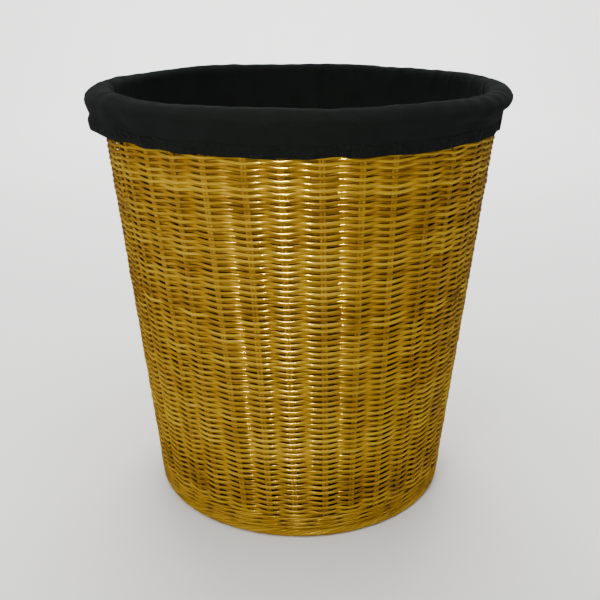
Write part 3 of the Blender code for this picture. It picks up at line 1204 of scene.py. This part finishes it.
@dataclass
class Liner:
    """The cloth: a tapered bag that rolls over the border and hangs outside as a cuff.

    A place on the cloth is given by its angle and by how far it lies along the profile,
    which runs from the bottom seam up the wall, over the border and down to the hem, and
    then turns up inside the hem. On one side the cuff hangs out in a loose ear, and on the
    other it is tucked in tight.
    """

    wall: Wall
    around: int = 720
    along: int = 66
    cloth: float = 0.9 * MM
    hem_fold: float = 12 * MM
    casing: float = 13 * MM  # depth of the hem that holds the elastic
    taper: float = 0.094  # of the wall under the cuff, outwards for each metre up
    sag: float = 1.6 * MM  # of the bag between its folds
    puckers: tuple[float, float] = (0.35 * MM, 0.30 * MM)  # on the roll, upright and slanting
    crease: float = 0.45 * MM  # depth of the cuff's slanting creases
    ruffle: float = 0.32 * MM  # depth of the gathers in the casing
    swell: float = 0.5 * MM  # by which the cuff stands off here and there
    uneven: float = 0.8 * MM  # by which the hem hangs lower here and there
    wave: float = 1.1 * MM  # of the crown, up and down
    ear: tuple[float, float] = (6.4 * MM, 6.6 * MM)  # flare of the cuff, and of its hem alone
    ear_drop: float = 4.0 * MM
    loose_arc: float = 0.55  # radians, over which the ear dies away
    tight_arc: float = 0.70
    stitch: float = 3.6 * MM  # from the start of one stitch to the next
    stitch_rows: tuple[float, float] = (10.5 * MM, 2.6 * MM)  # above the hem
    thread: float = 0.22 * MM  # half the thread's thickness, and the stitches' arch
    rng: np.random.Generator = field(default_factory=lambda: np.random.default_rng(16))

    def __post_init__(self) -> None:
        """Reads the solids that the cloth stands for and draws its creases."""
        _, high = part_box("liner_bottom_panel")
        border_low, border_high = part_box("top_border")
        self.floor = high.z
        self.floor_radius = high.x * FLATS - 0.4 * MM
        self.border_low, self.border_top = border_low.z, border_high.z
        self.border_out = border_high.x * FLATS
        self.border_in = self.border_out - 25.0 * MM
        self.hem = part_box("liner_cuff")[0].z
        self.bag_ripple = Ripple.draw(self.rng, 12, 3, 16, 0.4)
        self.rim_ripple = Ripple.draw(self.rng, 14, 8, 60, 0.0)
        self.rim_wave = Ripple.draw(self.rng, 6, 2, 9, 0.0)
        self.hem_ripple = Ripple.draw(self.rng, 12, 3, 34, 0.0)
        self.creases = Ripple.draw(self.rng, 14, 5, 34, 0.9)
        self.gather = Ripple.draw(self.rng, 12, 80, 175, 0.0)
        self.rim_creases = Ripple.draw(self.rng, 8, 1, 6, 5.0)
        self.folds = Folds.draw(self.rng, 20)
        self.profile = self.draw_profile()
        self.run = arc_length(self.profile)
        self.marks = {name: self.run[i] for name, i in self.corners.items()}

    def draw_profile(self) -> Array:
        """The cloth's radius and height from the bottom seam to the end of the hem fold.

        Returns:
            The profile as close places, a smooth curve through its corners.
        """
        top = self.border_top
        middle = (self.border_low + top) / 2
        lip = self.wall.outer(self.hem)
        centre = (self.border_in + self.border_out) / 2
        # Offsets from the border's middle: up its inner side, over it to a creased outer
        # edge, and in below that.
        outline = MM * np.array(
            [
                [-12.9, -4.0], [-13.0, 3.5], [-11.6, 8.0], [-7.0, 10.0], [0.0, 10.4],
                [6.0, 9.2], [10.4, 5.6], [13.4, 0.6], [12.2, -2.8], [9.6, -7.2],
            ]
        )
        roll = np.array([centre, middle]) + rounded(outline, 48, 1)
        share = np.linspace(0.0, 1.0, 40)[:-1]
        start = np.array([self.floor_radius, self.floor + 0.3 * MM])
        bag = start + (roll[0] - start) * share[:, None]
        fall = np.linspace(0.0, 1.0, 14)[1:]
        end = np.array([lip + 2.6 * MM, self.hem + 1.2 * MM])
        bow = np.stack([-1.2 * MM * np.sin(math.pi * fall), np.zeros_like(fall)], axis=-1)
        cuff = roll[-1] + (end - roll[-1]) * fall[:, None] + bow
        turn = np.linspace(0.0, math.pi, 7)[1:]
        fold = np.stack(
            [end[0] - 0.9 * MM * (1 - np.cos(turn)), end[1] - 1.0 * MM * np.sin(turn)], axis=-1
        )
        back = np.linspace(0.0, 1.0, 6)[1:]
        slope = self.taper * self.hem_fold
        inside = fold[-1] + np.stack([slope * back, self.hem_fold * back], axis=-1)
        self.corners = {
            "rim": len(bag),
            "crown": len(bag) + 22,
            "outside": len(bag) + len(roll) - 1,
            "hem": len(bag) + len(roll) + len(cuff) - 1,
        }
        return np.concatenate([bag, roll, cuff, fold, inside])

    def surface(self, angle: Array, run: Array) -> Array:
        """Places on the cloth.

        Each place is the profile's, moved along its normal by the sum of what crumples the
        cloth there. Each part of the sum is a depth * a field round the basket * a share
        that fades it in and out along the profile.

        Args:
            angle: angles about Z.
            run: distances along the profile, of the same shape.

        Returns:
            The places.
        """
        radius = np.interp(run, self.run, self.profile[:, 0])
        height = np.interp(run, self.run, self.profile[:, 1])
        slope = np.gradient(self.profile, self.run, axis=0)
        out_r = np.interp(run, self.run, -slope[:, 1])
        out_z = np.interp(run, self.run, slope[:, 0])
        marks = self.marks
        in_bag = ease((marks["rim"] - run) / (60 * MM)) * ease(run / (40 * MM))
        on_roll = np.exp(-(((run - marks["crown"]) / (18 * MM)) ** 2))
        below_crown = (run - marks["crown"]) / (marks["hem"] - marks["crown"])
        on_cuff = ease(below_crown)
        in_casing = ease((run - marks["hem"] + self.casing) / (3 * MM))
        hanging = np.sin(math.pi * np.clip(below_crown, 0.0, 1.0))
        sag = self.sag * in_bag * (1.0 + self.bag_ripple.at(angle, run / (50 * MM)))
        pucker = self.puckers[0] * on_roll * self.rim_ripple.at(angle, 0.0)
        pucker = pucker + self.puckers[1] * on_roll * self.rim_creases.at(angle, run / (10 * MM))
        crease = self.crease * hanging * self.creases.at(angle, run / (10 * MM))
        ruffle = self.ruffle * in_casing * self.gather.at(angle, 0.0)
        swell = self.swell * on_cuff * (1.0 + self.hem_ripple.at(angle, 1.0))
        loose = np.exp(-((np.arctan2(np.sin(angle), -np.cos(angle)) / self.loose_arc) ** 2))
        tight = np.exp(-((np.arctan2(np.sin(angle), np.cos(angle)) / self.tight_arc) ** 2))
        ear = self.ear[0] * loose * ease((below_crown - 0.12) / 0.40)
        ear = ear + self.ear[1] * loose * ease((below_crown - 0.60) / 0.22)
        ear = ear * (1.0 - ease((below_crown - 0.92) / 0.08))
        snug = np.maximum(radius - self.wall.outer(height) - 2.2 * MM, 0.0)
        snug = snug * tight * ease((self.border_low + 3 * MM - height) / (5 * MM))
        folded = self.folds.at(angle, marks["crown"] - run)
        crease = crease * (1.0 - 0.5 * tight)
        outside = run > marks["crown"]
        push = np.where(outside, pucker + crease + ruffle + swell + ear - snug, pucker + sag)
        push = push + folded
        fold_side = run > marks["hem"] + 2 * MM
        out_r = np.where(fold_side, -out_r, out_r)
        drop = -self.uneven * on_cuff * self.hem_ripple.at(angle, 0.0) * outside
        drop = drop - self.ear_drop * loose * on_cuff
        wave = self.wave * on_roll * self.rim_wave.at(angle, 0.0)
        radius = radius + push * out_r
        height = height + push * out_z * (1.0 - on_cuff) + drop + wave
        return polar(radius, angle, height)

    def bag(self, finish: Material) -> Object:
        """Makes the bag and cuff as one sheet with the cloth's thickness.

        Args:
            finish: the cloth's material.

        Returns:
            The object.
        """
        angle = TURN * np.arange(self.around) / self.around
        weight = np.interp(self.run, [0.0, self.marks["rim"], self.run[-1]], [0.0, 0.34, 1.0])
        run = np.interp(np.linspace(0.0, 1.0, self.along), weight, self.run)
        angles, runs = np.meshgrid(angle, run)
        points = self.surface(angles, runs)
        mean_radius = float(np.mean(self.profile[:, 0]))
        around = TURN * mean_radius * np.arange(self.around + 1) / self.around
        gathered = ease((run - self.marks["hem"] + self.casing) / (2 * MM))
        sheet = grid(points, run, around, gathered, wrap=True)
        made = sheet.to_object("liner_bag", finish)
        shell = made.modifiers.new("cloth", "SOLIDIFY")
        shell.thickness = self.cloth
        shell.offset = -1.0
        return made

    def bottom(self, finish: Material) -> Object:
        """Makes the round bottom, which sags a little between puckers at its seam.

        Args:
            finish: the cloth's material.

        Returns:
            The object.
        """
        rings = np.concatenate([[0.5 * MM], np.linspace(6 * MM, self.floor_radius, 40)])
        columns = 240
        angle = TURN * np.arange(columns) / columns
        ring, angles = np.meshgrid(rings, angle, indexing="ij")
        near_seam = ease((ring / self.floor_radius - 0.6) / 0.4)
        pucker = 0.5 * MM * near_seam * self.gather.at(angles, 0.0)
        height = self.floor - 0.3 * MM + np.maximum(pucker, -0.5 * MM)
        points = polar(ring, angles, height)
        around = np.arange(columns + 1) * 4.5 * MM
        disc = grid(points[:, ::-1], rings, around, np.zeros(len(rings)), wrap=True)
        made = disc.fill(columns).to_object("liner_bottom", finish)
        shell = made.modifiers.new("cloth", "SOLIDIFY")
        shell.thickness = self.cloth
        shell.offset = 0.0
        return made

    def stitches(self, finish: Material) -> Object:
        """Makes the two rows of stitches that hold the hem's casing.

        Args:
            finish: the thread's material.

        Returns:
            The object.
        """
        rows = []
        for above in self.stitch_rows:
            run = self.marks["hem"] - above
            count = int(TURN * self.wall.outer(self.hem) / self.stitch)
            start = TURN * np.arange(count) / count
            length = 0.70 * TURN / count
            share = np.linspace(0.0, 1.0, 5)
            angle = start[:, None] + length * share[None]
            arch = self.thread * np.sin(math.pi * share)[None]
            rows.append(self.dashes(angle, run, arch))
        return Surface.join(rows).to_object("hem_stitching", finish)

    def dashes(self, angle: Array, run: float, arch: Array) -> Surface:
        """Short rods of thread, one for each row of angles, all in one pass.

        Args:
            angle: places along each stitch.
            run: where the stitches lie along the profile.
            arch: how far each place stands off the cloth.

        Returns:
            The stitches.
        """
        count, places = angle.shape
        flats = 5
        lie = self.surface(angle, np.full_like(angle, run))
        lie = lie + (arch + 0.1 * MM)[..., None] * radial(angle)
        forward = unit(np.gradient(lie, axis=1))
        side = unit(np.cross(forward, radial(angle)))
        out = np.cross(side, forward)
        turn = TURN * np.arange(flats) / flats
        ring = np.cos(turn)[:, None] * out[:, :, None] + np.sin(turn)[:, None] * side[:, :, None]
        thin = np.array([0.35, 1.0, 1.0, 1.0, 0.35]) * self.thread
        points = (lie[:, :, None] + thin[None, :, None, None] * ring).reshape(-1, 3)
        i, j = np.meshgrid(np.arange(places - 1), np.arange(flats), indexing="ij")
        here, beside = i * flats + j, i * flats + (j + 1) % flats
        quad = np.stack([here, beside, beside + flats, here + flats], axis=-1).ravel()
        caps = np.concatenate([np.arange(flats)[::-1], (places - 1) * flats + np.arange(flats)])
        one = np.concatenate([quad, caps])
        sizes = np.concatenate([np.full((places - 1) * flats, 4), [flats, flats]])
        corners = (one[None] + (np.arange(count) * places * flats)[:, None]).ravel()
        place = points[corners][:, [0, 2]] + points[corners][:, [1, 2]]
        return Surface(points, corners, np.tile(sizes, count), place, np.zeros(len(points)))

    def elastic(self, finish: Material) -> Object:
        """Makes the flat elastic inside the hem, corrugated where it has drawn up.

        Args:
            finish: the elastic's material.

        Returns:
            The object.
        """
        angle = TURN * np.arange(self.around) / self.around
        low, high = self.hem + 2.6 * MM, self.hem + 9.6 * MM
        base = self.wall.outer(self.hem) + 1.0 * MM
        corners = np.array([[0.0, low], [0.35 * MM, low], [0.35 * MM, high], [0.0, high]])
        wave = 0.12 * MM * np.sin(180 * angle)
        radius = base + corners[None, :, 0] + wave[:, None] + self.taper * (corners[None, :, 1] - low)
        height = np.broadcast_to(corners[None, :, 1], radius.shape)
        points = polar(radius, angle[:, None], height)
        run = base * TURN * np.arange(self.around + 1) / self.around
        across = MM * np.array([0.0, 1.0, 8.0, 9.0, 16.0])
        return closed(points, run, across, np.zeros(self.around)).to_object("hem_elastic", finish)


# ---- The studio ----------------------------------------------------------------
@dataclass(frozen=True)
class Studio:
    """Floor, lights and camera.

    The varnish mirrors one small lamp of its own, the glint, which lights nothing else. It
    mirrors neither the key light nor the white paper that stands round the basket.
    """

    eye: tuple[float, float, float] = (0.0, -1.0065, 0.6085)
    pitch: float = math.radians(20.71)
    lens: float = 50.48
    sensor: float = 36.0
    glow: float = 0.10  # strength of the room's own white light

    def floor(self) -> Object:
        """Makes a round sweep of paper that lies flat and curves up far off, on all sides.

        Returns:
            The floor.
        """
        turn = np.linspace(0.0, math.pi / 2, 24)
        bend, flat, columns = 1.6, 3.2, 120
        radius = np.concatenate([[0.5, 1.5], flat + bend * np.sin(turn), [flat + bend]])
        height = np.concatenate([[0.0, 0.0], bend * (1 - np.cos(turn)), [7.0]])
        angle = -TURN * np.arange(columns) / columns
        points = polar(radius[:, None], angle[None], np.repeat(height[:, None], columns, 1))
        sheet = grid(points, radius, np.append(angle, -TURN), np.zeros(len(radius)), wrap=True)
        made = sheet.fill(columns).to_object("studio_floor", StudioPaper().build())
        return made

    def light(self, name: str, place: tuple, aim: tuple, size: tuple, power: float) -> Object:
        """Adds a soft rectangular light.

        Args:
            name: its name.
            place: where it is.
            aim: the point that it faces.
            size: its width and height.
            power: watts.

        Returns:
            The light.
        """
        data = bpy.data.lights.new(name, "AREA")
        data.shape = "RECTANGLE"
        data.size, data.size_y = size
        data.energy = power
        lamp = bpy.data.objects.new(name, data)
        bpy.context.scene.collection.objects.link(lamp)
        lamp.location = place
        away = np.array(place) - np.array(aim)
        flat = math.hypot(away[0], away[1])
        lamp.rotation_euler = (math.atan2(flat, away[2]), 0.0, math.atan2(away[0], -away[1]))
        return lamp

    def build(self) -> None:
        """Sets the floor, the lights, the room's glow and the camera."""
        floor = self.floor()
        soft = self.light("key_softbox", (-0.55, -1.25, 1.05), (0, 0, 0.34), (0.2, 0.2), 6.0)
        glint = self.light("glint_softbox", (-0.18, -1.35, 1.05), (0, 0, 0.40), (0.2, 0.2), 2.8)
        glint.data.spread = math.radians(33.0)
        self.light("window_fill", (-1.7, -1.0, 0.9), (0, 0, 0.25), (1.0, 1.0), 3.0)
        self.light("overhead_panel", (0.0, -0.3, 2.4), (0, 0, 0), (1.6, 1.6), 38.0)
        backdrop = self.light("backdrop_panel", (0.0, 2.8, 2.8), (0, 3.0, 0), (3.0, 2.4), 230.0)
        soft.visible_glossy = backdrop.visible_glossy = floor.visible_glossy = False
        glint.visible_diffuse = False
        glint.data.color = (1.0, 0.90, 0.45)
        world = bpy.data.worlds.new("room")
        world.use_nodes = True
        background = world.node_tree.nodes["Background"]
        set_inputs(background, {"Color": (1, 1, 1, 1), "Strength": self.glow})
        bpy.context.scene.world = world
        camera = bpy.data.cameras.new("camera")
        camera.lens = self.lens
        camera.sensor_width = self.sensor
        holder = bpy.data.objects.new("camera", camera)
        bpy.context.scene.collection.objects.link(holder)
        holder.location = self.eye
        holder.rotation_euler = (math.pi / 2 - self.pitch, 0.0, 0.0)
        bpy.context.scene.camera = holder


# ---- Assembly ------------------------------------------------------------------
def settle(piece: Object, body: str, nodes: list[str]) -> Object:
    """Fixes a finished piece to its body and hides the CAD nodes that it stands for.

    Args:
        piece: the piece.
        body: the body that it moves with.
        nodes: the CAD nodes that it stands for.

    Returns:
        The piece.
    """
    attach(piece, body)
    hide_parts(*nodes)
    LOG.info("%s: %d faces on %s", piece.name, len(piece.data.polygons), body)
    return piece


def nodes_named(start: str) -> list[str]:
    """The CAD nodes whose names start this way."""
    return sorted(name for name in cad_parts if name.startswith(start))


def build_basket(wall: Wall) -> None:
    """Makes all that is of cane.

    Args:
        wall: the wall that the canes follow.
    """
    side_cane = VarnishedCane("varnished_rattan_core").build()
    # The stakes are the same cane, with less varnish on them than on the weavers over them.
    stake_cane = VarnishedCane(
        "varnished_stake_cane", pale="#C4A02E", honey="#A8801E", toffee="#72480E", roughness=0.35
    ).build()
    base_cane = VarnishedCane(
        "thinly_varnished_base_cane", pale="#CBAA48", honey="#AF8426", gloss=0.2, roughness=0.45
    ).build()
    stick_wood = VarnishedCane(
        "stained_willow_stick", "#9A7028", "#7A5018", "#4E3210", gloss=0.2, roughness=0.45
    ).build()

    for band in SideWeave(wall).build(side_cane):
        settle(band, "basket", ["side_weave"])
    settle(SideStakes(wall).build(stake_cane), "basket", nodes_named("stake_pair"))

    low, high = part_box("upsett_wale")
    upsett = Wale("upsett_wale_rods", wall, low.z, high.z, rows=3, seed=21)
    settle(upsett.build(side_cane), "basket", ["upsett_wale"])
    low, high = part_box("top_wale")
    top_wale = Wale("top_wale_rods", wall, low.z, high.z, rows=2, seed=22)
    settle(top_wale.build(side_cane), "basket", ["top_wale"])

    # The top border is made slightly small, so that no cane comes through the cloth on it.
    low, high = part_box("top_border")
    top_border = RolledBorder(
        "top_border_canes", high.x * FLATS - 12.5 * MM, (low.z + high.z) / 2,
        half_width=11.3 * MM, half_height=8.5 * MM, cane=3.6 * MM, canes=17, twists=12, seed=23,
    )
    settle(top_border.build(side_cane), "basket", ["top_border"])
    low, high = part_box("foot_border")
    half = 7.9 * MM
    foot_border = RolledBorder(
        "foot_border_canes", high.x * FLATS - half, (low.z + high.z) / 2,
        half, (high.z - low.z) / 2, cane=4.0 * MM, canes=9, twists=8, seed=24,
    )
    settle(foot_border.build(side_cane), "basket", ["foot_border"])

    base = Base(wall)
    settle(base.weave(base_cane), "basket", ["base_weave"])
    settle(base.sticks(stick_wood), "basket", nodes_named("base_stick"))


def build_liner(wall: Wall) -> None:
    """Makes all that is of cloth, thread and elastic.

    Args:
        wall: the wall that the liner hangs in.
    """
    cotton = BlackCotton().build()
    liner = Liner(wall)
    bag = settle(liner.bag(cotton), "liner", ["liner_side_panel", "liner_cuff"])
    bottom = settle(liner.bottom(cotton), "liner", ["liner_bottom_panel"])
    thread = SpunThread("polyester_sewing_thread").build()
    stitching = settle(liner.stitches(thread), "liner", [])
    braid = SpunThread("braided_elastic", colour="#2A2B30", roughness=0.7).build()
    elastic = settle(liner.elastic(braid), "liner", ["cuff_elastic"])


def main() -> None:
    """Builds the basket, the liner and the studio, and notes the model's size."""
    logging.basicConfig(level=logging.INFO, format="%(message)s")
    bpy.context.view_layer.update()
    wall = Wall.from_frame()
    build_basket(wall)
    build_liner(wall)
    Studio().build()


if __name__ == "__main__":
    main()
